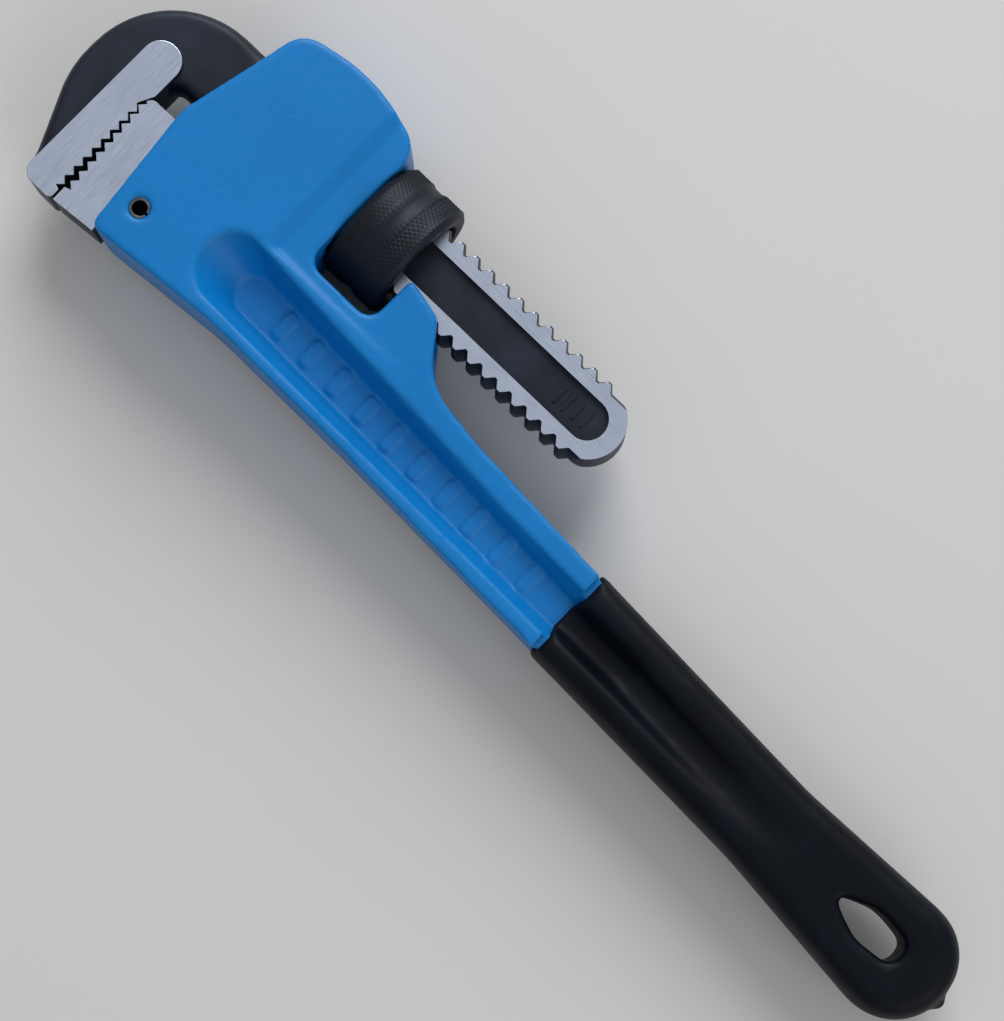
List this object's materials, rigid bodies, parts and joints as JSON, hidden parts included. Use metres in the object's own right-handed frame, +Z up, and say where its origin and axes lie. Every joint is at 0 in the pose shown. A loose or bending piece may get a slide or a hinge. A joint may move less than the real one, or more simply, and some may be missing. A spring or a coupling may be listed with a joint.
{
  "type": "pipe wrench",
  "caption": "Straight pipe wrench with a cast I-beam handle, dipped grip, pinned heel jaw and a threaded hook jaw moved by a knurled nut.",
  "frame": {"origin": "under the middle of the closed wrench's box, on the surface that the wrench lies on; the mid-plane of the wrench is at the adjusting nut's radius above it", "axes": "+X along the hook jaw's shank towards the jaws, +Y towards the side on which the jaws open, +Z up, across the wrench's thickness"},
  "size_m": [0.3144, 0.0802, 0.0336],
  "materials": {
    "painted_casting": "semi-gloss enamel over cast iron",
    "dipped_grip": "satin dipped vinyl",
    "ground_steel": "ground",
    "hook_steel": "black oxide with ground faces",
    "black_oxide": "black oxide, knurled",
    "spring_steel": "oiled"
  },
  "bodies": {
    "handle": {"handle_frame": "painted_casting", "grip_sleeve": "dipped_grip", "heel_jaw": "ground_steel", "heel_jaw_pin": "spring_steel", "coil_spring": "spring_steel"},
    "carrier": {"flat_spring": "spring_steel"},
    "hook": {"hook_jaw": "hook_steel"},
    "nut": {"adjusting_nut": "black_oxide"}
  },
  "joints": [
    {"name": "jaw_rock", "type": "hinge", "parent": "handle", "child": "carrier", "pos_m": [0.1317, -0.00215, 0.0168], "axis": [0, 0, 1], "range_deg": [-2, 0], "stiffness_Nm_per_rad": 5, "deforming": ["coil_spring"]},
    {"name": "jaw_slide", "type": "slide", "parent": "carrier", "child": "hook", "axis": [1, 0, 0], "range_m": [0, 0.05]},
    {"name": "nut_spin", "type": "hinge", "parent": "carrier", "child": "nut", "pos_m": [0.0688, -0.01715, 0.0168], "axis": [1, 0, 0], "range_deg": [-3600, 0]}
  ],
  "couplings": [
    {"joint": "nut_spin", "follows": "jaw_slide", "rad_per_m": -1256.6}
  ]
}
